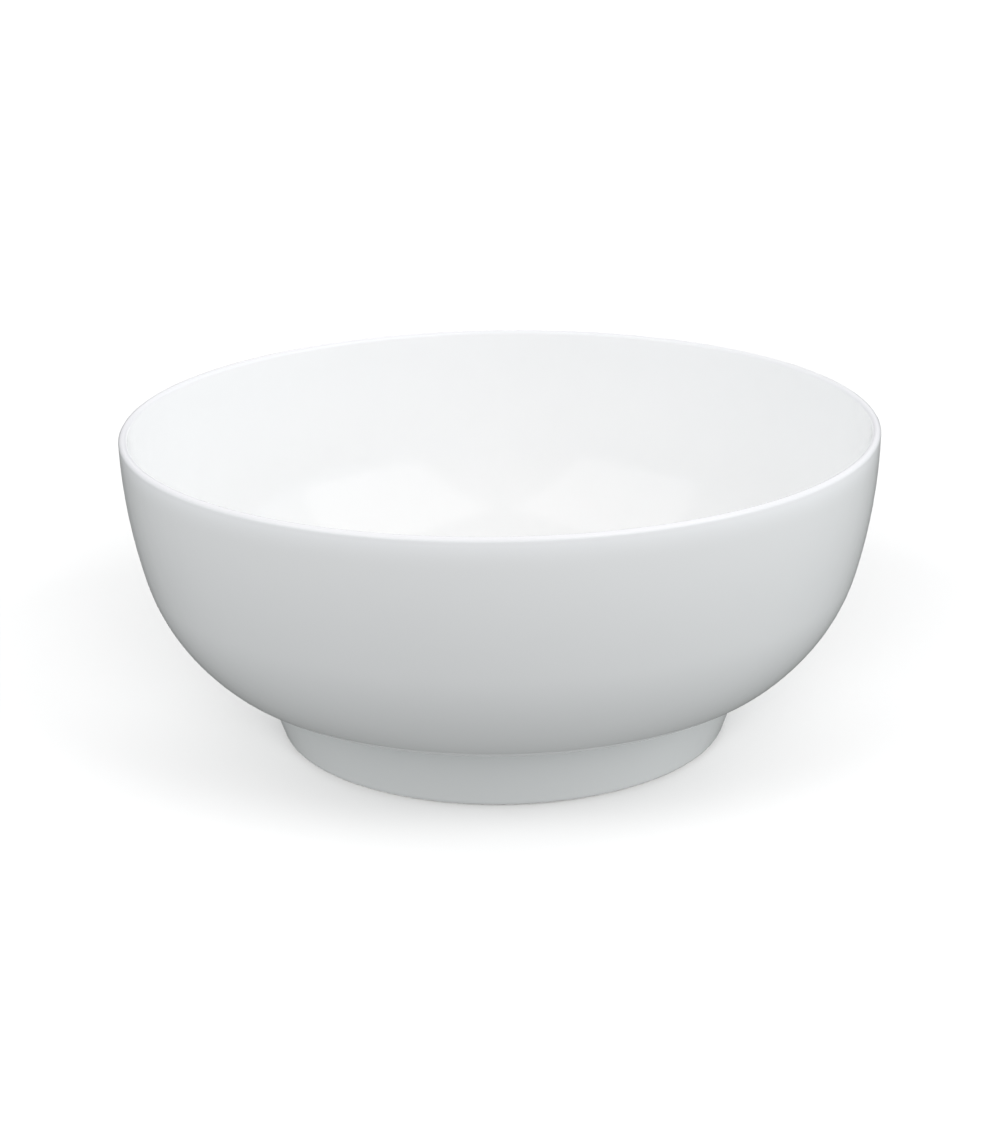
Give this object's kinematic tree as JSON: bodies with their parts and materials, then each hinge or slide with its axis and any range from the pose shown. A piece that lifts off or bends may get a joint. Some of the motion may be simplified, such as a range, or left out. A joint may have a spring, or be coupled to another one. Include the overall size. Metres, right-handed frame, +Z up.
{
  "type": "porcelain serving bowl",
  "caption": "Deep round serving bowl in plain white glazed porcelain, with a rounded lip, a full belly and a tall flared foot ring.",
  "frame": {"origin": "centre of the circle that the foot stands on, at the table surface", "axes": "+Z up along the bowl's axis of turning; X and Y lie in the table surface"},
  "size_m": [0.24, 0.24, 0.102],
  "materials": {
    "fired_porcelain": "matte unglazed biscuit porcelain",
    "fired_slip": "matte fired joining slip",
    "clear_glaze": "smooth glossy white glaze"
  },
  "bodies": {
    "root": {"bowl_body": "fired_porcelain", "foot_ring": "fired_porcelain", "luting_slip": "fired_slip", "glaze_coat": "clear_glaze", "foot_well_glaze": "clear_glaze"}
  },
  "joints": []
}
